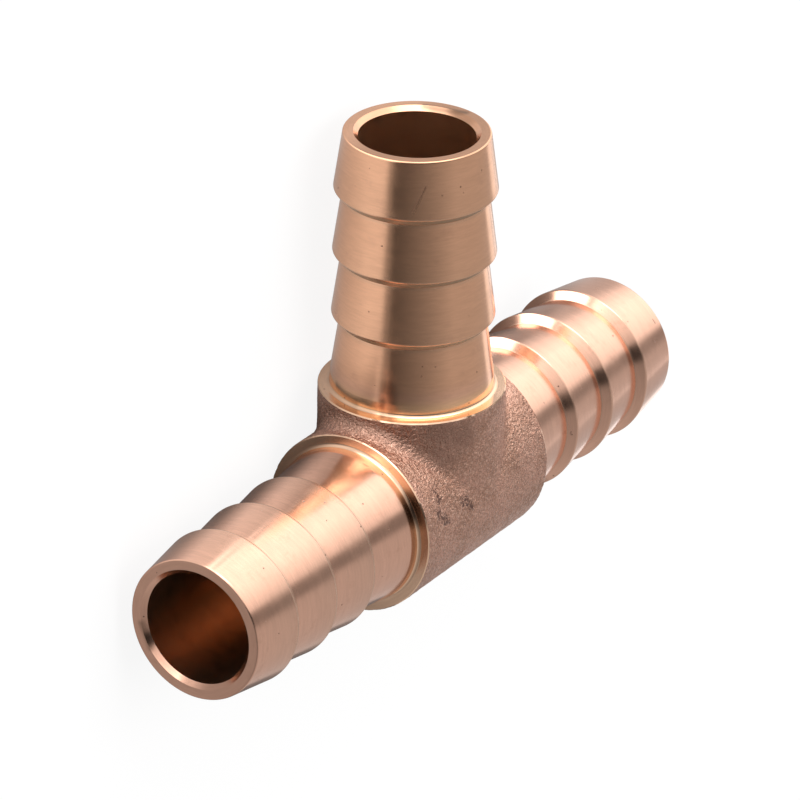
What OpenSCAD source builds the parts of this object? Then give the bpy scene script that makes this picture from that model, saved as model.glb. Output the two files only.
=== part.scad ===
// Hose barb tee: one solid, turned and drilled from a rough blank.
// The run lies along X, the branch points along +Y, and +Z is up.
// The origin is where the bore axes cross.

/* [Bore] */
// Diameter of the three bores, which meet in the middle
bore_d = 10.0; // [7:0.1:11]
// Width of the 45 degree chamfer round each mouth
mouth_chamfer = 0.4; // [0.1:0.05:0.5]

/* [Body] */
// Diameter of the rough barrels of the run and the branch
body_d = 16.2; // [15.9:0.1:22]
// Distance from the crossing to each turned shoulder
shoulder_reach = 9.55; // [9.5:0.05:16]
// Radius of the blend in the two valleys between branch and run
valley_blend = 1.3; // [0.4:0.05:1.3]
// Width of the broken edge round each shoulder
shoulder_break = 0.12; // [0.05:0.01:0.3]

/* [Barbs] */
// Diameter over the crests of the barbs
crest_d = 14.0; // [13.4:0.1:15]
// Diameter where each barb's back slope meets the next cone
waist_d = 12.6; // [12.2:0.1:13.2]
// Diameter at the tip of an arm
tip_d = 12.6; // [12.2:0.1:13.2]
// Number of barbs on each arm
barbs = 3; // [1:1:5]
// Distance from one crest to the next
barb_pitch = 5.8; // [4:0.1:8]
// Length of the cone from the tip to the first crest
lead_len = 5.1; // [3:0.05:8]
// Length of the slope behind each crest
back_len = 0.7; // [0.5:0.05:1.6]
// Radius that rounds each crest
crest_round = 0.2; // [0.1:0.05:0.8]
// Radius of the edge between the tip face and the first cone
tip_round = 0.15; // [0.05:0.05:0.3]

/* [Root] */
// Diameter of the plain land at the root of an arm
root_d = 14.0; // [13.4:0.1:14.4]
// Length of the root, from the shoulder to the last back slope
root_len = 6.05; // [4:0.05:10]
// Length of the plain land past the fillet
root_land = 0.4; // [0.1:0.05:1]
// Radius of the fillet between the land and the shoulder
root_fillet = 0.7; // [0.3:0.05:0.7]

/* [Hidden] */
$fn = 96;

bore_r = bore_d / 2;
body_r = body_d / 2;
crest_r = crest_d / 2;
waist_r = waist_d / 2;
tip_r = tip_d / 2;
root_r = root_d / 2;

last_crest = shoulder_reach + root_len + back_len;
first_crest = last_crest + (barbs - 1) * barb_pitch;
arm_reach = first_crest + lead_len;

// Steps in a rounded edge, in a crest and in the root fillet
edge_steps = 3;
crest_steps = 5;
fillet_steps = 8;

// How far a cut runs past the face that it opens
overcut = 1;
// Turn of the run bore's seam about its own axis
bore_seam = 20;

// Steps across and along a valley blend
blend_steps = 7;
blend_rows = 30;
// Angle at which the blend runs into each barrel
blend_dip = 8;
// The blend fades out this near to the pole, in degrees from it
blend_fade = 12;
// How far the blend reaches into each barrel, as a share of the barrel
blend_root = 0.8;

// Points of an arc about c, from angle a0 to angle a1
function arc(c, r, a0, a1, steps) =
    [for (i = [0:steps]) let (a = a0 + (a1 - a0) * i / steps) c + r * [cos(a), sin(a)]];

// Direction from p to q, in degrees
function heading(p, q) = atan2(q[1] - p[1], q[0] - p[0]);

// A corner at b rounded with radius r, where a line from a turns left towards c
function rounded(a, b, c, r, steps) =
    let (
        h0 = heading(a, b),
        h1 = heading(b, c),
        turn = (h1 - h0 + 540) % 360 - 180,
        back = r * tan(turn / 2),
        centre = b - back * [cos(h0), sin(h0)] + r * [-sin(h0), cos(h0)]
    )
    arc(centre, r, h0 - 90, h0 - 90 + turn, steps);

// Outline of one barb, from the waist behind it to its rounded crest.
// The next point out is the end of its cone.
function barb(crest, cone_end) =
    let (waist = [waist_r, crest - back_len])
    concat([waist], rounded(waist, [crest_r, crest], cone_end, crest_round, crest_steps));

// Outline of an arm from the rough barrel to its tip: radius, then distance from the crossing
function arm_outline() = concat(
    [[body_r, shoulder_reach - shoulder_break]],
    [[body_r - shoulder_break, shoulder_reach]],
    arc([root_r + root_fillet, shoulder_reach + root_fillet], root_fillet, 270, 180, fillet_steps),
    [[root_r, shoulder_reach + root_fillet + root_land]],
    [for (k = [0:barbs - 1])
        let (
            crest = last_crest + k * barb_pitch,
            cone_end = k < barbs - 1 ? [waist_r, crest + barb_pitch - back_len] : [tip_r, arm_reach]
        )
        each barb(crest, cone_end)],
    rounded([crest_r, first_crest], [tip_r, arm_reach], [0, arm_reach], tip_round, edge_steps),
    [[0, arm_reach]]
);

function flipped(points) = [for (i = [len(points) - 1:-1:0]) [points[i][0], -points[i][1]]];

// The run's barrel and its two barbed arms, turned in one outline
module run_turned() {
    rotate([0, 90, 0])
        rotate_extrude()
            polygon(concat(flipped(arm_outline()), arm_outline()));
}

// The branch's barrel and its barbed arm
module branch_turned() {
    rotate([-90, 0, 0])
        rotate_extrude()
            polygon(concat([[0, 0], [body_r, 0]], arm_outline()));
}

// A mouth chamfer, opening outwards from the bore
module mouth() {
    translate([0, 0, arm_reach - mouth_chamfer])
        cylinder(h = mouth_chamfer + overcut, r1 = bore_r, r2 = bore_r + mouth_chamfer + overcut);
}

// The run bore goes right through, and the branch bore meets it at the crossing
module bores() {
    rotate([0, 90, 0])
        rotate([0, 0, bore_seam])
            cylinder(h = 2 * (arm_reach + overcut), r = bore_r, center = true);
    rotate([-90, 0, 0])
        cylinder(h = arm_reach + overcut, r = bore_r);
    for (turn = [[0, 90, 0], [0, -90, 0], [-90, 0, 0]])
        rotate(turn)
            mouth();
}

// Section of the valley at mid height: a corner inside both barrels, from which all
// of the outline is in sight, and a hollow quarter round that runs into both of them
function valley_section() =
    let (
        c = body_r + valley_blend * cos(blend_dip),
        inner = blend_root * body_r
    )
    concat([[inner, inner], [c, inner]], arc([c, c], valley_blend, 270, 180, blend_steps), [[inner, c]]);

// The blend in one valley. Both barrels narrow alike towards the pole, so each
// level's section is the same one, shrunk as the barrels are there.
module valley_fill() {
    section = valley_section();
    n = len(section);
    span = 90 - blend_fade;
    rings = [for (j = [0:blend_rows])
        let (a = -span + 2 * span * j / blend_rows)
        [for (p = section) [p[0] * cos(a), p[1] * cos(a), body_r * sin(a)]]];
    skin = [for (j = [0:blend_rows - 1], i = [0:n - 1])
        let (a = j * n + i, b = j * n + (i + 1) % n)
        each [[a, a + n, b], [b, a + n, b + n]]];
    low = [for (i = [0:n - 1]) i];
    high = [for (i = [0:n - 1]) blend_rows * n + (n - i) % n];
    polyhedron(points = [for (ring = rings) each ring], faces = concat(skin, [low], [high]), convexity = 4);
}

module tee() {
    color("#b98468")
        difference() {
            union() {
                run_turned();
                branch_turned();
                valley_fill();
                mirror([1, 0, 0])
                    valley_fill();
            }
            bores();
        }
}

tee();
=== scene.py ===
import math

import bmesh
import bpy
from mathutils import Matrix, Vector, noise


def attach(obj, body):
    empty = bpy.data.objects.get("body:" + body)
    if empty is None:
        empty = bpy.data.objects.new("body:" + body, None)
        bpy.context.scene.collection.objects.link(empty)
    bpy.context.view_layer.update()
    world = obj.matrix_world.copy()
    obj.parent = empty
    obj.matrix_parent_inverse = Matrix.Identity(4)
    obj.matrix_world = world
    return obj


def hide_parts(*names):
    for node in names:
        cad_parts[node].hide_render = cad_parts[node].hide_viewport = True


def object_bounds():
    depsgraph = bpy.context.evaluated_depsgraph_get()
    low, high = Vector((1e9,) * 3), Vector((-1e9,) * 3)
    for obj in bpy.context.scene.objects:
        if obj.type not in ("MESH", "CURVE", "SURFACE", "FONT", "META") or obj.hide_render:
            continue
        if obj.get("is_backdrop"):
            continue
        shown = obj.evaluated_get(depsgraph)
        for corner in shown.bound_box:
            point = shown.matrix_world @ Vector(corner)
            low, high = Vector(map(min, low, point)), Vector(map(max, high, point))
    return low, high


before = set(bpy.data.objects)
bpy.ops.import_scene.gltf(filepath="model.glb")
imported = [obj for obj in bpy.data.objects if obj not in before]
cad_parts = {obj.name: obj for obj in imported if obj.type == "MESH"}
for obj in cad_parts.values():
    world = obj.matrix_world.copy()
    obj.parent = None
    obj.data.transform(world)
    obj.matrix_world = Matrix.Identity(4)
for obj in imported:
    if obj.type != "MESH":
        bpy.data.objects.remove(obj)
cad_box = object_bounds()


# Camera. The tee is seen as in the photograph: from the front arm's side, a little above
# the branch's shoulder, through a long lens, so that nearer parts look hardly larger.
view_azimuth = math.radians(149.63)
view_elevation = math.radians(28.38)
view_roll = math.radians(1.26)
view_distance = 0.66483
aim = Vector((0.002114, 0.006229, -0.002452))
picture_side = 800
focal_pixels = 7743

toward_camera = Vector((
    math.cos(view_elevation) * math.cos(view_azimuth),
    math.cos(view_elevation) * math.sin(view_azimuth),
    math.sin(view_elevation),
))
branch_up = Vector((0, 1, 0))
picture_up = (branch_up - branch_up.dot(toward_camera) * toward_camera).normalized()
picture_up.rotate(Matrix.Rotation(view_roll, 3, toward_camera))
picture_right = picture_up.cross(toward_camera)
turn = Matrix((picture_right, picture_up, toward_camera)).transposed()

lens = bpy.data.cameras.new("camera")
lens.sensor_width = 36
lens.lens = lens.sensor_width * focal_pixels / picture_side
camera = bpy.data.objects.new("camera", lens)
camera.matrix_world = Matrix.Translation(aim + view_distance * toward_camera) @ turn.to_4x4()
bpy.context.scene.collection.objects.link(camera)
bpy.context.scene.camera = camera
bpy.context.scene.view_settings.view_transform = "Standard"


# Floor. A plain white sheet under the tee, which lies on the side of its body. It keeps a
# soft shadow. In the metal's mirror it glows with painted light and shade, darkest under the
# tee, and brightest beyond the branch and in the corner between the branch and the rear arm.
floor_size = 3.0
floor_white = 1.0
shown_share = 0.88

front_tone = 0.90
mouth_tone = 0.30
under_tone = 0.05
under_x = (-0.034, -0.016)
beside_tone = 0.47
beside_x = (-0.018, 0.000)
beside_y = (0.005, 0.013)
mouth_setback = -0.0035
mouth_x = (-0.036, -0.028)
beyond_tone = 1.3
beyond_y = (0.027, 0.050)
horizon_tone = 1.5
horizon_y = (0.060, 0.200)
far_tone = 0.14
far_x = (-0.035, -0.085)
far_y = (0.040, 0.010)

rear_tone = 0.30
rear_x = (0.026, 0.034)
rear_far_tone = 0.52
rear_far_x = (0.035, 0.042)
rear_beyond_y = (0.012, 0.026)
rear_horizon_tone = 1.7
rear_horizon_y = (0.020, 0.060)

glare_tone = 2.7
glare_y = (0.065, 0.120)
glare_slope = (0.50, 0.34)
least_y = 0.001
left_glare_x = (0.001, -0.006)
left_glare_y = (0.030, 0.042)
bright_patch = 4.5
bright_left_x = (0.004, 0.007)
bright_right_x = (0.0315, 0.0285)
bright_slant = 0.32
bright_near_y = (0.0085, 0.0105)
bright_far_y = (0.034, 0.031)
grey_patch = 0.5
grey_left_x = (-0.004, 0.001)
grey_right_x = (0.032, 0.027)
grey_near_y = (0.036, 0.039)
grey_far_y = (0.055, 0.047)
right_patch = 1.35
right_x = (0.045, 0.065)
right_near_y = (-0.060, -0.040)
right_far_y = (0.005, -0.010)

floor_mesh = bpy.data.meshes.new("floor")
half = floor_size / 2
floor_z = cad_box[0][2]
floor_mesh.from_pydata(
    [(-half, -half, floor_z), (half, -half, floor_z), (half, half, floor_z), (-half, half, floor_z)],
    [],
    [(0, 1, 2, 3)],
)
floor = bpy.data.objects.new("floor", floor_mesh)
bpy.context.scene.collection.objects.link(floor)
floor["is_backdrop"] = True


def new_nodes(owner):
    """The empty node tree of a material or a world."""
    owner.use_nodes = True
    owner.node_tree.nodes.clear()
    return owner.node_tree


def feed(tree, socket, value):
    """Links a socket to another, or sets it to a number."""
    if isinstance(value, (int, float)):
        socket.default_value = value
    else:
        tree.links.new(value, socket)


def maths(tree, operation, *values):
    """What the operation makes of one or two numbers or sockets."""
    node = tree.nodes.new("ShaderNodeMath")
    node.operation = operation
    for socket, value in zip(node.inputs, values):
        feed(tree, socket, value)
    return node.outputs[0]


def plus(tree, value, other, amount=1.0):
    """The value and an amount of the other. A negative amount takes it away."""
    return maths(tree, "ADD", value, maths(tree, "MULTIPLY", other, amount))


def parts_of(tree, place):
    """The x, y and z of a place or a direction."""
    node = tree.nodes.new("ShaderNodeSeparateXYZ")
    tree.links.new(place, node.inputs[0])
    return node.outputs


def fade(tree, value, start, end, low=0.0, high=1.0, smooth=True):
    """Goes from low to high while value goes from start to end, and stays there."""
    node = tree.nodes.new("ShaderNodeMapRange")
    node.interpolation_type = "SMOOTHSTEP" if smooth else "LINEAR"
    given = {"Value": value, "From Min": start, "From Max": end, "To Min": low, "To Max": high}
    for name, number in given.items():
        feed(tree, node.inputs[name], number)
    return node.outputs[0]


def within(tree, *edges):
    """1 where each value is past its edge, a pair of (start, end), and 0 before any start."""
    share = 1.0
    for value, (start, end) in edges:
        share = maths(tree, "MULTIPLY", share, fade(tree, value, start, end))
    return share


paper = bpy.data.materials.new("white_paper")
tree = new_nodes(paper)
floor_x, floor_y, _ = parts_of(tree, tree.nodes.new("ShaderNodeTexCoord").outputs["Object"])
under = fade(tree, floor_x, *under_x, mouth_tone, under_tone)
beside = fade(tree, floor_x, *beside_x, front_tone, beside_tone)
edge_y = maths(tree, "SUBTRACT", floor_y, fade(tree, floor_x, *mouth_x, mouth_setback, 0.0))
tone = fade(tree, edge_y, *beside_y, under, beside)
tone = fade(tree, floor_y, *beyond_y, tone, beyond_tone)
tone = fade(tree, floor_y, *horizon_y, tone, horizon_tone)
left_glare = within(tree, (floor_x, left_glare_x), (floor_y, left_glare_y))
tone = fade(tree, left_glare, 0, 1, tone, glare_tone)
tone = fade(tree, floor_x, *far_x, tone, fade(tree, floor_y, *far_y, tone, far_tone))

rear = fade(tree, floor_x, *rear_far_x, rear_tone, rear_far_tone)
rear = fade(tree, floor_y, *rear_beyond_y, rear, beyond_tone)
rear = fade(tree, floor_y, *rear_horizon_y, rear, rear_horizon_tone)
tone = fade(tree, floor_x, *rear_x, tone, rear)

slanted_x = plus(tree, floor_x, floor_y, bright_slant)
across = ((floor_x, bright_left_x), (slanted_x, bright_right_x))
bright = within(tree, *across, (floor_y, bright_near_y), (floor_y, bright_far_y))
tone = fade(tree, bright, 0, 1, tone, bright_patch)
across = ((floor_x, grey_left_x), (floor_x, grey_right_x))
grey = within(tree, *across, (floor_y, grey_near_y), (floor_y, grey_far_y))
tone = fade(tree, grey, 0, 1, tone, grey_patch)
right = within(tree, (floor_x, right_x), (floor_y, right_near_y), (floor_y, right_far_y))
tone = fade(tree, right, 0, 1, tone, right_patch)
away = maths(tree, "MAXIMUM", floor_y, least_y)
slope = maths(tree, "DIVIDE", maths(tree, "ABSOLUTE", floor_x), away)
glare = within(tree, (floor_y, glare_y), (slope, glare_slope))
tone = fade(tree, glare, 0, 1, tone, glare_tone)

# Glossy rays see the sheet glow at this tone: painted light and painted shade for the metal to mirror.
ray = tree.nodes.new("ShaderNodeLightPath")
glow = tree.nodes.new("ShaderNodeEmission")
feed(tree, glow.inputs["Strength"], fade(tree, ray.outputs["Is Glossy Ray"], 0, 1, 1.0, tone))
matte = tree.nodes.new("ShaderNodeBsdfDiffuse")
matte.inputs["Color"].default_value = (floor_white, floor_white, floor_white, 1)
seen = plus(tree, ray.outputs["Is Camera Ray"], ray.outputs["Is Glossy Ray"])
seen = plus(tree, seen, ray.outputs["Is Transmission Ray"])
mixed = tree.nodes.new("ShaderNodeMixShader")
feed(tree, mixed.inputs["Fac"], maths(tree, "MULTIPLY", maths(tree, "MINIMUM", seen, 1.0), shown_share))
tree.links.new(matte.outputs[0], mixed.inputs[1])
tree.links.new(glow.outputs[0], mixed.inputs[2])
tree.links.new(mixed.outputs[0], tree.nodes.new("ShaderNodeOutputMaterial").inputs["Surface"])
floor_mesh.materials.append(paper)


# Studio. A broad soft box hangs beyond the branch and reaches most of the way up. A dark gap
# parts it from the grey room on the camera's side, which is darker towards the left.
soft_box = 1.75
soft_box_top = 0.92
box_rise_y = (0.0, 0.55)
box_foot_y = (-0.085, 0.04)
box_tilt = 0.42
box_twist = 0.065
soft_box_left = 0.80
box_left_x = (-0.65, 0.55)
soft_box_right = 1.3
box_right_x = (0.55, 0.92)
foot_left = 1.3
foot_middle = 0.74
foot_left_x = (-0.6, 0.55)
foot_right_rise = 0.14
foot_right_x = (0.55, 0.9)
foot_z = (0.0, 0.4)
box_glare = 2.3
box_glare_y = (0.825, 0.885)

gap_left = 0.03
gap_right = 0.30
gap_x = (-0.6, 0.9)
gap_y = (-0.13, -0.27)
gap_tilt = 0.22
room = 0.53
room_left = 0.33
room_x = (0.0, -0.96)
right_glow = 0.72
window_x = (0.80, 0.88)
window_y = (-0.44, -0.39)
window_z = (0.33, 0.21)

white_backdrop = 1.0
lamp_watts = 5.0
lamp_width = 0.8
lamp_place = (-0.1, 0.3, 0.9)

world = bpy.data.worlds.new("studio")
bpy.context.scene.world = world
tree = new_nodes(world)
sky_x, sky_y, sky_z = parts_of(tree, tree.nodes.new("ShaderNodeTexCoord").outputs["Generated"])

window = within(tree, (sky_x, window_x), (sky_y, window_y), (sky_z, window_z))
below = fade(tree, window, 0, 1, room, room + right_glow)
below = maths(tree, "MULTIPLY", below, fade(tree, sky_x, *room_x, 1.0, room_left, smooth=False))
gap_dark = fade(tree, sky_x, *gap_x, gap_left, gap_right, smooth=False)
gap = fade(tree, plus(tree, sky_y, sky_z, -gap_tilt), *gap_y, gap_dark, below)

box_edge = plus(tree, plus(tree, sky_y, sky_z, -box_tilt), sky_x, box_twist)
box = fade(tree, box_edge, *box_rise_y, soft_box_top, soft_box, smooth=False)
box = maths(tree, "MULTIPLY", box, fade(tree, sky_x, *box_left_x, soft_box_left, 1.0, smooth=False))
box = maths(tree, "MULTIPLY", box, fade(tree, sky_x, *box_right_x, 1.0, soft_box_right, smooth=False))
foot = fade(tree, sky_x, *foot_left_x, foot_left, foot_middle, smooth=False)
foot = plus(tree, foot, fade(tree, sky_x, *foot_right_x, smooth=False), foot_right_rise)
box = maths(tree, "MULTIPLY", box, fade(tree, sky_z, *foot_z, foot, 1.0))
box = maths(tree, "MULTIPLY", box, fade(tree, sky_y, *box_glare_y, 1.0, box_glare))
level = fade(tree, box_edge, *box_foot_y, gap, box)

ray = tree.nodes.new("ShaderNodeLightPath")
level = fade(tree, ray.outputs["Is Camera Ray"], 0, 1, level, white_backdrop)
background = tree.nodes.new("ShaderNodeBackground")
background.inputs["Color"].default_value = (1, 1, 1, 1)
feed(tree, background.inputs["Strength"], level)
tree.links.new(background.outputs[0], tree.nodes.new("ShaderNodeOutputWorld").inputs["Surface"])

lamp = bpy.data.lights.new("floor_lamp", "AREA")
lamp.shape = "DISK"
lamp.size = lamp_width
lamp.energy = lamp_watts
floor_lamp = bpy.data.objects.new("floor_lamp", lamp)
floor_lamp.location = lamp_place
floor_lamp.rotation_euler = floor_lamp.location.to_track_quat("Z", "Y").to_euler()
floor_lamp.visible_camera = False
floor_lamp.visible_glossy = False
bpy.context.scene.collection.objects.link(floor_lamp)


# Skin of the metal. The tee is one piece of brass, so its turned arms, rough body and
# bores are one closed mesh, which each section below adds to, in millimetres.
mm = 0.001
around = 384
arm_around = around // 2

points, facets = [], []
outward, rough_share, lathe_place, fresh_share, dirt_and_shade_share = [], [], [], [], []
index_of = {}
finish_number = {}


def corner(place, normal=(0, 0, 0), rough=0.0, lathe=(0, 0, 0), fresh=0.0, dirt_and_shade=0.0):
    """The number of the vertex at this place. Sections that meet share it."""
    key = tuple(round(value, 4) for value in place)
    if key not in index_of:
        index_of[key] = len(points)
        points.append(Vector(place))
        outward.append(Vector(normal))
        rough_share.append(rough)
        lathe_place.append(lathe)
        fresh_share.append(fresh)
        dirt_and_shade_share.append(dirt_and_shade)
    return index_of[key]


def face(finish, *corners):
    """A facet, without its doubled corners. Where the wall narrows to a line there is none."""
    distinct = tuple(dict.fromkeys(corners))
    if len(distinct) > 2:
        facets.append((finish, distinct))


# Arms. Each is turned from the solid on a lathe: three barbs with rounded crests, a land,
# a fillet and a flat shoulder. The tool leaves fine lines round them.
arm_reach = cad_box[1][0] / mm
body_r = cad_box[1][2] / mm
shoulder_reach = 9.55
shoulder_break = 0.12
bore_r = 5.0
mouth_chamfer = 0.4
crest_r, waist_r, tip_r, root_r = 7.0, 6.3, 6.3, 7.0
barbs, barb_pitch, lead_len, back_len = 3, 5.8, 5.1, 0.7
crest_round, tip_round, root_fillet, root_land = 0.2, 0.15, 0.35, 0.75
fillet_steps, crest_steps, tip_steps = 12, 5, 4
first_crest = arm_reach - lead_len
last_crest = first_crest - (barbs - 1) * barb_pitch
crests = [last_crest + k * barb_pitch for k in range(barbs)]
land_end = shoulder_reach + root_fillet + root_land
fillet_support, waist_support, foot_support = 0.3, 0.35, 0.12

satin_brass = (0.87, 0.50, 0.36)
tarnished_brass = (0.84, 0.46, 0.285)
fresh_brass = (0.95, 0.615, 0.42)
# Brown for painted shade in the grooves and along the crests, with some dirt at the feet.
dirt_and_shade_brown = (0.46, 0.39, 0.29)
stain_brown = (0.62, 0.33, 0.22)
# Near-black brown for painted shade and painted dark reflections.
painted_shade_dark = (0.20, 0.12, 0.08)
# Pale brass for painted highlights.
painted_highlight_pale = (0.97, 0.76, 0.62)
# Golden brass for a painted reflection round the branch just above its shoulder.
painted_gold_reflection = (0.96, 0.575, 0.315)
pit_brown = (0.10, 0.05, 0.04)
tarnish_y = (shoulder_reach, land_end + 2)
gold_reflection_near_y = (9.6, 9.9)
gold_reflection_far_y = (11.4, 10.2)
gold_reflection_strength = 0.8
stain_clouds = (0.52, 0.75)
stain_mottle = (0.35, 0.7)
stain_strength = 0.35
line_stretch = (7.0, 0.7, 0.7)
band_stretch = (1.5, 0.2, 0.2)
streak_range = (0.3, 0.7)
line_streak, band_streak = 0.03, 0.02
pit_size = (0.085, 0.05)
pit_chance = (0.6, 0.65)
pit_strength = 0.6
arm_roughness = (0.17, 0.22)
dull_clouds = (0.4, 0.7)
groove_roughness, pit_roughness = 0.4, 0.3
tool_line_depth = 0.0010
band_height, pit_height = 2.0, 4.0
scratches = (
    ((-5.14, 30.84, 4.14), (-5.93, 28.67, 3.51), 0.13, 1.0),
    ((32.16, 3.81, 5.22), (32.10, 4.10, 5.05), 0.16, 1.0),
    ((15.80, 0.10, 6.60), (15.80, -0.16, 6.60), 0.15, 1.0),
    ((12.94, 3.85, 5.53), (12.94, 3.80, 5.55), 0.13, 1.0),
)
# Dark strokes at the roots and mouths of the branch and the front arm: painted shade and painted dark
# reflections.
painted_shade_marks = (
    ((-6.70, 12.0, 1.80), (-6.72, 10.1, 2.05), 1.15, 0.80),
    ((-6.80, 10.8, 1.45), (-7.20, 9.75, 1.55), 0.55, 0.90),
    ((-5.92, 10.49, -3.82), (-6.94, 10.03, -1.22), 0.60, 0.60),
    ((-9.97, 4.04, 5.78), (-9.65, 2.35, 7.05), 1.20, 0.85),
    ((4.80, 32.9, -2.30), (5.55, 32.9, 1.30), 0.55, 0.70),
    ((-33.0, -3.0, -4.4), (-33.0, -1.0, -5.3), 0.55, 0.55),
)
# Pale strokes on the front arm near its root: painted highlights.
painted_highlights = (
    ((-11.4, 6.75, 1.55), (-15.0, 6.30, 1.90), 1.30, 0.55),
    ((-17.0, 6.60, 1.60), (-20.5, 6.40, 1.90), 1.00, 0.40),
)


def arc(centre, radius, start, end, steps):
    """Points of an arc, as (radius from the axis, distance from the crossing)."""
    turns = [math.radians(start + (end - start) * i / steps) for i in range(steps + 1)]
    return [(centre[0] + radius * math.cos(t), centre[1] + radius * math.sin(t)) for t in turns]


def rounded(before, at, after, radius, steps):
    """The corner at a point, rounded, where the outline turns left."""
    came = math.degrees(math.atan2(at[1] - before[1], at[0] - before[0]))
    goes = math.degrees(math.atan2(after[1] - at[1], after[0] - at[0]))
    bend = (goes - came + 540) % 360 - 180
    back = radius * math.tan(math.radians(bend / 2))
    c, s = math.cos(math.radians(came)), math.sin(math.radians(came))
    centre = (at[0] - back * c - radius * s, at[1] - back * s + radius * c)
    return arc(centre, radius, came - 90, came - 90 + bend, steps)


def arm_outline():
    """An arm's section from the shoulder's rim to the bore, as (radius, distance) points."""
    outline = [(body_r, shoulder_reach - shoulder_break), (body_r - shoulder_break, shoulder_reach)]
    fillet_end = shoulder_reach + root_fillet
    outline += arc((root_r + root_fillet, fillet_end), root_fillet, 270, 180, fillet_steps)
    outline += [(root_r, fillet_end + fillet_support), (root_r, land_end)]
    last_foot = last_crest - back_len
    share = waist_support / math.dist((waist_r, last_foot), (root_r, land_end))
    outline += [(waist_r + (root_r - waist_r) * share, last_foot - waist_support)]
    back_slope = (crest_r - waist_r) / back_len
    for crest in crests:
        is_first = crest == crests[-1]
        foot, top = (waist_r, crest - back_len), (crest_r, crest)
        cone_end = (tip_r, arm_reach) if is_first else (waist_r, crest + barb_pitch - back_len)
        outline += [foot, (waist_r + foot_support * back_slope, crest - back_len + foot_support)]
        outline += rounded(foot, top, cone_end, crest_round, crest_steps)
        if not is_first:
            share = waist_support / math.dist(top, cone_end)
            outline += [tuple(e + (c - e) * share for e, c in zip(cone_end, top))]
    outline += rounded((crest_r, first_crest), (tip_r, arm_reach), (0, arm_reach), tip_round, tip_steps)
    outline += [(bore_r + mouth_chamfer, arm_reach), (bore_r, arm_reach - mouth_chamfer)]
    return outline


def with_supports(outline, inset=0.05, span=0.45):
    """Adds a ring just inside each end of a long stretch, so that its shading stays true."""
    supported = [outline[0]]
    for before, after in zip(outline[:-1], outline[1:]):
        length = math.dist(before, after)
        if length > span:
            for share in (inset / length, 1 - inset / length):
                step = [b + (a - b) * share for b, a in zip(before, after)]
                supported.append(tuple(step))
        supported.append(after)
    return supported


def noise_at(tree, place, scale, detail=2.0, output="Fac"):
    """A noise, with its scale in features per millimetre."""
    node = tree.nodes.new("ShaderNodeTexNoise")
    tree.links.new(place, node.inputs["Vector"])
    node.inputs["Scale"].default_value = scale
    node.inputs["Detail"].default_value = detail
    return node.outputs[output]


def cells_at(tree, place, scale):
    """Cells: how far a point is from its cell's middle, and three chance values for the cell."""
    node = tree.nodes.new("ShaderNodeTexVoronoi")
    tree.links.new(place, node.inputs["Vector"])
    node.inputs["Scale"].default_value = scale
    chance = tree.nodes.new("ShaderNodeSeparateColor")
    tree.links.new(node.outputs["Color"], chance.inputs[0])
    return node.outputs["Distance"], chance.outputs


def vector_maths(tree, operation, first, second, output="Vector"):
    node = tree.nodes.new("ShaderNodeVectorMath")
    node.operation = operation
    for socket, value in zip(node.inputs, (first, second)):
        if isinstance(value, bpy.types.NodeSocket):
            tree.links.new(value, socket)
        else:
            socket.default_value = value
    return node.outputs[output]


def blend(tree, share, first, second, strength=1.0):
    """A colour that goes from first to second, as far as the share times the strength."""
    node = tree.nodes.new("ShaderNodeMix")
    node.data_type = "RGBA"
    feed(tree, node.inputs["Factor"], maths(tree, "MULTIPLY", share, strength))
    for socket, value in ((node.inputs[6], first), (node.inputs[7], second)):
        if isinstance(value, bpy.types.NodeSocket):
            tree.links.new(value, socket)
        else:
            socket.default_value = (*value, 1)
    return node.outputs[2]


def shake(tree, place, scale, reach):
    """The place, moved off by up to about the reach, so that a mark's edge is ragged."""
    wobble = noise_at(tree, place, scale, output="Color")
    moved = vector_maths(tree, "ADD", place, vector_maths(tree, "MULTIPLY", wobble, [2 * reach] * 3))
    return vector_maths(tree, "SUBTRACT", moved, [reach] * 3)


def mark_at(tree, place, start, end, width, edge=0.5):
    """A stroke from start to end: 1 on its line, and 0 further off than its width."""
    start, end = Vector(start), Vector(end)
    along = end - start
    from_start = vector_maths(tree, "SUBTRACT", place, start)
    way = vector_maths(tree, "DOT_PRODUCT", from_start, along / along.length_squared, "Value")
    way = fade(tree, way, 0, 1, smooth=False)
    scaled = tree.nodes.new("ShaderNodeVectorMath")
    scaled.operation = "SCALE"
    scaled.inputs[0].default_value = along
    feed(tree, scaled.inputs["Scale"], way)
    off = vector_maths(tree, "DISTANCE", from_start, scaled.outputs[0], "Value")
    return fade(tree, off, width * edge, width, 1.0, 0.0)


def marks_at(tree, place, strokes, edge=0.5):
    """The strongest of some strokes at a place, each of (start, end, width, strength)."""
    strongest = 0.0
    for start, end, width, strength in strokes:
        stroke = maths(tree, "MULTIPLY", mark_at(tree, place, start, end, width, edge), strength)
        strongest = maths(tree, "MAXIMUM", strongest, stroke)
    return strongest


def new_metal(name):
    """A bare metal with its place in millimetres, and its number for the facets."""
    material = bpy.data.materials.new(name)
    tree = new_nodes(material)
    shader = tree.nodes.new("ShaderNodeBsdfPrincipled")
    shader.inputs["Metallic"].default_value = 1
    tree.links.new(shader.outputs[0], tree.nodes.new("ShaderNodeOutputMaterial").inputs["Surface"])
    where = tree.nodes.new("ShaderNodeTexCoord").outputs["Object"]
    place = vector_maths(tree, "MULTIPLY", where, (1 / mm, 1 / mm, 1 / mm))
    finish_number[material] = len(finish_number)
    return material, tree, shader, place


def attribute(tree, name, output):
    node = tree.nodes.new("ShaderNodeAttribute")
    node.attribute_name = name
    return node.outputs[output]


def relief(tree, shader, height, depth):
    """Presses a height pattern into the surface, to a depth in millimetres."""
    bump = tree.nodes.new("ShaderNodeBump")
    bump.inputs["Distance"].default_value = depth * mm
    feed(tree, bump.inputs["Height"], height)
    tree.links.new(bump.outputs[0], shader.inputs["Normal"])


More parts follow.
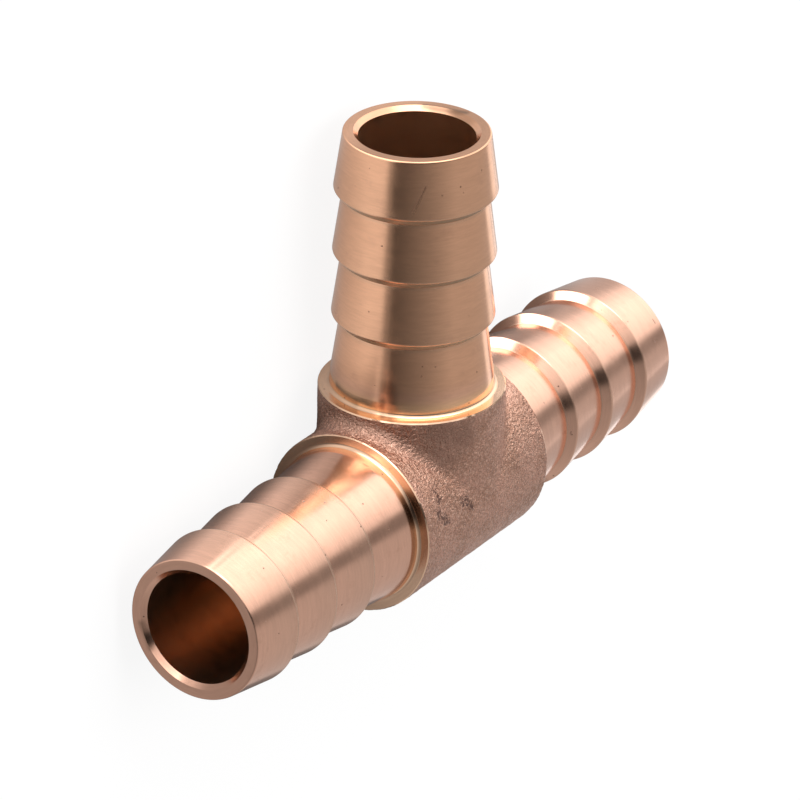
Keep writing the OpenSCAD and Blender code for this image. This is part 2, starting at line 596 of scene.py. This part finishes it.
turned, tree, shader, place = new_metal("turned_brass")
lathe = attribute(tree, "lathe", "Vector")
fresh = attribute(tree, "fresh", "Fac")
dirt_and_shade = attribute(tree, "dirt_and_shade", "Fac")
lines = noise_at(tree, vector_maths(tree, "MULTIPLY", lathe, line_stretch), scale=1.0)
bands = noise_at(tree, vector_maths(tree, "MULTIPLY", lathe, band_stretch), scale=1.0)
clouds = noise_at(tree, place, scale=0.45, detail=3.0)
mottle = noise_at(tree, place, scale=2.2)
_, branch_y, _ = parts_of(tree, place)

colour = blend(tree, fade(tree, branch_y, *tarnish_y), satin_brass, tarnished_brass)
stained = within(tree, (clouds, stain_clouds), (mottle, stain_mottle))
colour = blend(tree, stained, colour, stain_brown, stain_strength)
colour = blend(tree, fresh, colour, fresh_brass)
# Brown painted on the back faces, at their feet and on the crests: painted shade of the creases and of the
# crests' edges, with some dirt at the feet.
colour = blend(tree, dirt_and_shade, colour, dirt_and_shade_brown)
# A golden band painted round the branch just above its shoulder: a painted reflection.
gold_reflection_band = within(tree, (branch_y, gold_reflection_near_y), (branch_y, gold_reflection_far_y))
colour = blend(tree, gold_reflection_band, colour, painted_gold_reflection, gold_reflection_strength)
# The pale strokes are painted highlights, the dark ones painted shade and painted dark reflections.
for strokes, tint, edge in ((painted_highlights, painted_highlight_pale, 0.3), (painted_shade_marks, painted_shade_dark, 0.0)):
    for start, end, width, strength in strokes:
        colour = blend(tree, mark_at(tree, place, start, end, width, edge), colour, tint, strength)
streak = fade(tree, lines, *streak_range, -line_streak, line_streak)
streak = plus(tree, streak, fade(tree, bands, *streak_range, -band_streak, band_streak))
shade = tree.nodes.new("ShaderNodeHueSaturation")
tree.links.new(colour, shade.inputs["Color"])
feed(tree, shade.inputs["Value"], plus(tree, 1.0, streak))

cell_middle, chance = cells_at(tree, place, scale=0.8)
pits = within(tree, (cell_middle, pit_size), (chance[0], pit_chance))
scratched = marks_at(tree, shake(tree, place, scale=3.0, reach=0.08), scratches, edge=0.0)
pits = maths(tree, "MAXIMUM", pits, scratched)
colour = blend(tree, pits, shade.outputs[0], pit_brown, pit_strength)
tree.links.new(colour, shader.inputs["Base Color"])
roughness = fade(tree, clouds, *dull_clouds, *arm_roughness)
roughness = plus(tree, roughness, dirt_and_shade, groove_roughness)
feed(tree, shader.inputs["Roughness"], plus(tree, roughness, pits, pit_roughness))
tool_lines = plus(tree, lines, bands, band_height)
relief(tree, shader, plus(tree, tool_lines, pits, -pit_height), tool_line_depth)

# Where each arm points, and how brown its back faces, the feet of these and its crests are: painted shade
# of the creases and of the crests' edges, with some dirt at the feet.
arms = (
    {"axis": (-1, 0, 0), "side": (0, 1, 0), "lathe": 0.0, "face": 0.0, "foot": 0.45, "crest": 0.6},
    {"axis": (1, 0, 0), "side": (0, 1, 0), "lathe": 90.0, "face": 0.0, "foot": 0.25, "crest": 0.2},
    {"axis": (0, 1, 0), "side": (1, 0, 0), "lathe": 180.0, "face": 0.9, "foot": 0.25, "crest": 0.3},
)
upright = Vector((0, 0, 1))
foot_reach, waist_reach, crest_reach = 0.16, 0.35, 0.2
crest_clear = 0.1
hair = 1e-6


def dirt_and_shade_at(arm, radius, distance):
    """How brown a point is, from 0 to 1, as painted shade with some dirt at the feet: on the crests, on the
    back faces and at their feet.
    """
    nearest = min(crests, key=lambda crest: abs(distance - crest + back_len / 2))
    on_back_face = nearest - back_len < distance < nearest - crest_clear
    reach = foot_reach if on_back_face else waist_reach
    foot = 1 - math.dist((radius, distance), (waist_r, nearest - back_len)) / reach
    top = 1 - math.dist((radius, distance), (crest_r, nearest)) / crest_reach
    return max(foot * arm["foot"], top * arm["crest"], arm["face"] if on_back_face else 0.0, 0.0)


def ring(arm, radius, distance, along, count):
    """One ring of corners round an arm's axis."""
    axis, side = Vector(arm["axis"]), Vector(arm["side"])
    rough = float(radius > body_r - hair)
    fresh = min(1.0, max(0.0, (land_end - distance) / root_land))
    dirt_and_shade = dirt_and_shade_at(arm, radius, distance)
    numbers = []
    for i in range(count):
        t = 2 * math.pi * i / count
        spoke = math.cos(t) * side + math.sin(t) * upright
        lathe = (along + arm["lathe"], radius * math.cos(t), radius * math.sin(t))
        numbers.append(corner(distance * axis + radius * spoke, spoke, rough, lathe, fresh, dirt_and_shade))
    return numbers


outline = with_supports(arm_outline())
along = [0.0]
for before, after in zip(outline[:-1], outline[1:]):
    along.append(along[-1] + math.dist(before, after))
for arm in arms:
    edge = ring(arm, *outline[0], 0.0, around)
    rings = [ring(arm, *point, way, arm_around) for point, way in zip(outline[1:], along[1:])]
    for i in range(arm_around):
        j = (i + 1) % arm_around
        a, b, c = edge[2 * i], edge[2 * i + 1], edge[2 * j]
        face(turned, a, b, rings[0][i])
        face(turned, b, rings[0][j], rings[0][i])
        face(turned, b, c, rings[0][j])
    for inner, outer in zip(rings[:-1], rings[1:]):
        for i in range(arm_around):
            j = (i + 1) % arm_around
            face(turned, inner[i], inner[j], outer[j], outer[i])


# Body. Two rough barrels of one size cross, as they came from the mould, with a hollow
# blend in the valleys between them. Only the shoulders at their ends are machined.
valley_blend = 1.3
grain_step = 2 * math.pi * body_r / around
body_end = shoulder_reach - shoulder_break

cast_brown = (0.54, 0.295, 0.207)
cast_pink = (0.70, 0.395, 0.295)
cast_light = (0.92, 0.59, 0.45)
# Dark brown for the random grit, and for painted shade.
cast_speckle_and_shade_dark = (0.34, 0.19, 0.14)
pink_clouds = (0.35, 0.65)
dark_grit, dark_strength = (0.56, 0.40), 0.65
light_grains, light_strength = (0.65, 0.9), 0.55
hollow_grains, hollow_strength = (0.25, 0.45), 0.75
cast_roughness = (0.55, 0.30)
bright_grains = (0.2, 0.9)
grit_depth = 0.05
grain_height, coarse_height, hollow_height = 0.6, 2.0, 0.8
# Dark strokes on the body, mostly in the valley below the branch's shoulder: painted shade.
painted_shade_strokes = (
    ((-8.1, 9.6, -0.5), (-7.2, 8.4, 3.7), 2.0, 0.8),
    ((-7.2, 8.4, 3.7), (-4.6, 6.0, 6.7), 2.0, 0.55),
    ((-8.6, 8.6, 1.0), (-6.6, 6.6, 4.6), 1.3, 0.45),
    ((-5.6, 8.9, 5.9), (-3.4, 7.8, 7.3), 2.3, 0.75),
    ((9.2, 7.2, 4.1), (9.1, 4.8, 6.5), 2.2, 0.20),
)
pit_clusters = (
    ((-7.03, 4.11, 7.01), (-6.9, 3.2, 7.3), 0.50, 1.0),
    ((-7.46, 2.16, 7.84), (-6.6, 1.2, 8.0), 0.55, 1.0),
    ((-3.9, 2.1, 7.9), (-2.7, 1.0, 8.0), 0.55, 1.0),
    ((-4.0, 5.6, 6.2), (-3.0, 4.8, 6.7), 0.45, 1.0),
)

cast, tree, shader, place = new_metal("cast_brass")
grit = noise_at(tree, place, scale=8.0)
coarse_grit = noise_at(tree, place, scale=3.6, detail=1.0)
clouds = noise_at(tree, place, scale=0.30, detail=3.0)
grain_middle, grain = cells_at(tree, place, scale=7.5)
shaken = shake(tree, place, scale=1.6, reach=0.8)

colour = blend(tree, fade(tree, clouds, *pink_clouds), cast_brown, cast_pink)
colour = blend(tree, fade(tree, grit, *dark_grit), colour, cast_speckle_and_shade_dark, dark_strength)
colour = blend(tree, fade(tree, grain[0], *light_grains), colour, cast_light, light_strength)
# Painted shade, in strokes.
colour = blend(tree, marks_at(tree, shaken, painted_shade_strokes, edge=0.2), colour, cast_speckle_and_shade_dark)
hollow = marks_at(tree, shaken, pit_clusters)
hollow = maths(tree, "MULTIPLY", hollow, fade(tree, grain[2], *hollow_grains))
colour = blend(tree, hollow, colour, pit_brown, hollow_strength)
tree.links.new(colour, shader.inputs["Base Color"])
feed(tree, shader.inputs["Roughness"], fade(tree, grain[1], *bright_grains, *cast_roughness))
height = plus(tree, grit, grain_middle, -grain_height)
height = plus(tree, height, coarse_grit, coarse_height)
relief(tree, shader, plus(tree, height, hollow, -hollow_height), grit_depth)


def zip_rows(finish, row, other):
    """Triangles between two rows that run side by side, each of (share of the way, corner)."""
    i = j = 0
    while i < len(row) - 1 or j < len(other) - 1:
        row_has_next, other_has_next = i < len(row) - 1, j < len(other) - 1
        if not other_has_next or (row_has_next and row[i + 1][0] <= other[j + 1][0]):
            face(finish, row[i][1], row[i + 1][1], other[j][1])
            i += 1
        else:
            face(finish, row[i][1], other[j + 1][1], other[j][1])
            j += 1


def body_row(angle, side):
    """A row from a run shoulder over the valley to the branch shoulder, at one height."""
    h, z = body_r * math.cos(angle), body_r * math.sin(angle)
    leg = valley_blend * math.cos(angle)
    straight = body_end - h - leg
    bend = leg * math.pi / 2
    length = 2 * straight + bend
    count = max(2, 2 * round(length / grain_step / 2))
    row = []
    for i in range(count + 1):
        way = length * i / count
        if way <= straight:
            x, y, nx, ny = body_end - way, h, 0, 1
        elif way < straight + bend:
            t = (way - straight) / leg
            x, y = h + leg - leg * math.sin(t), h + leg - leg * math.cos(t)
            nx, ny = math.sin(t), math.cos(t)
        else:
            x, y, nx, ny = h, h + leg + way - straight - bend, 1, 0
        normal = Vector((side * nx * math.cos(angle), ny * math.cos(angle), math.sin(angle)))
        row.append((i / count, corner((side * x, y, z), normal.normalized(), 1.0)))
    return row


def belly_row(angle):
    """A row along the run's barrel on the side away from the branch."""
    h, z = body_r * math.cos(angle), body_r * math.sin(angle)
    count = 2 * round(2 * body_end / grain_step / 2)
    normal = (0, -math.cos(angle), math.sin(angle))
    shares = [i / count for i in range(count + 1)]
    return [(share, corner((body_end - 2 * body_end * share, -h, z), normal, 1.0)) for share in shares]


angles = [-math.pi / 2 + 2 * math.pi * j / around for j in range(around // 2 + 1)]
for make_row in (lambda a: body_row(a, 1), lambda a: body_row(a, -1), belly_row):
    rows = [make_row(angle) for angle in angles]
    for row, other in zip(rows[:-1], rows[1:]):
        zip_rows(cast, row, other)


# Bores. Three drillings of one size meet at the crossing with a sharp edge. Handling has
# not reached them, so they stay brown inside, with fine rings from the drill.
bore_end = arm_reach - mouth_chamfer
bore_brown = (0.86, 0.60, 0.42)
bore_dark = (0.62, 0.38, 0.25)
dark_clouds, bore_dark_strength = (0.45, 0.75), 0.6
bore_roughness = 0.25
drill_line_depth = 0.01
mouth_support, crossing_support = 1, 0.05

bored, tree, shader, place = new_metal("bore_brass")
bore_x, bore_y, _ = parts_of(tree, place)
from_crossing = tree.nodes.new("ShaderNodeCombineXYZ")
reach = maths(tree, "MAXIMUM", maths(tree, "ABSOLUTE", bore_x), bore_y)
feed(tree, from_crossing.inputs["X"], reach)
drill_lines = noise_at(tree, from_crossing.outputs[0], scale=4.0)
clouds = noise_at(tree, place, scale=0.6, detail=3.0)
colour = blend(tree, fade(tree, clouds, *dark_clouds), bore_brown, bore_dark, bore_dark_strength)
tree.links.new(colour, shader.inputs["Base Color"])
shader.inputs["Roughness"].default_value = bore_roughness
relief(tree, shader, drill_lines, drill_line_depth)


def bore_row(angle, side):
    """A row from a run mouth to the crossing and out to the branch mouth, at one height."""
    h, z = bore_r * math.cos(angle), bore_r * math.sin(angle)
    half_way = (h + bore_end) / 2
    stops = [(bore_end, h), (bore_end - mouth_support, h), (half_way, h), (h + crossing_support, h), (h, h)]
    stops += [(y, x) for x, y in reversed(stops[:-1])]
    return [corner((side * x, y, z)) for x, y in stops]


def far_bore_row(angle):
    """A row through the run's bore on the side away from the branch."""
    h, z = bore_r * math.cos(angle), bore_r * math.sin(angle)
    half = [bore_end, bore_end - mouth_support, bore_end / 2, crossing_support]
    return [corner((x, -h, z)) for x in half + [0] + [-x for x in reversed(half)]]


angles = [-math.pi / 2 + 2 * math.pi * j / arm_around for j in range(arm_around // 2 + 1)]
for make_row in (lambda a: bore_row(a, 1), lambda a: bore_row(a, -1), far_bore_row):
    rows = [make_row(angle) for angle in angles]
    for row, other in zip(rows[:-1], rows[1:]):
        for i in range(len(row) - 1):
            face(bored, row[i], row[i + 1], other[i + 1], other[i])


# Casting grain and joining. Blasting has left the body pitted and a little wavy, so each of
# its corners moves in or out by a hair. The whole skin then becomes one mesh.
grain_layers = ((0.30, 0.022), (0.7, 0.022), (2.5, 0.015), (6.0, 0.05))
grain_sink = 0.05
sharp_from = math.radians(20)

for i, share in enumerate(rough_share):
    if share > 0:
        swell = sum(height * noise.noise(points[i] / size) for size, height in grain_layers)
        points[i] = points[i] + (swell - grain_sink) * share * outward[i]

skin = bpy.data.meshes.new("tee_metal")
skin.from_pydata([point * mm for point in points], [], [corners for _, corners in facets])
for material in finish_number:
    skin.materials.append(material)
skin.polygons.foreach_set("material_index", [finish_number[finish] for finish, _ in facets])
skin.polygons.foreach_set("use_smooth", [True] * len(facets))
facing = bmesh.new()
facing.from_mesh(skin)
bmesh.ops.recalc_face_normals(facing, faces=facing.faces)
facing.to_mesh(skin)
facing.free()
lathe_data = skin.attributes.new("lathe", "FLOAT_VECTOR", "POINT").data
lathe_data.foreach_set("vector", [value for place in lathe_place for value in place])
skin.attributes.new("fresh", "FLOAT", "POINT").data.foreach_set("value", fresh_share)
skin.attributes.new("dirt_and_shade", "FLOAT", "POINT").data.foreach_set("value", dirt_and_shade_share)
skin.update()
skin.set_sharp_from_angle(angle=sharp_from)
tee = bpy.data.objects.new("tee_metal", skin)
bpy.context.scene.collection.objects.link(tee)
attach(tee, "root")
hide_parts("tee")

boxes = {"cad": cad_box, "visual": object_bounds()}
{name: [list(end) for end in box] for name, box in boxes.items()}
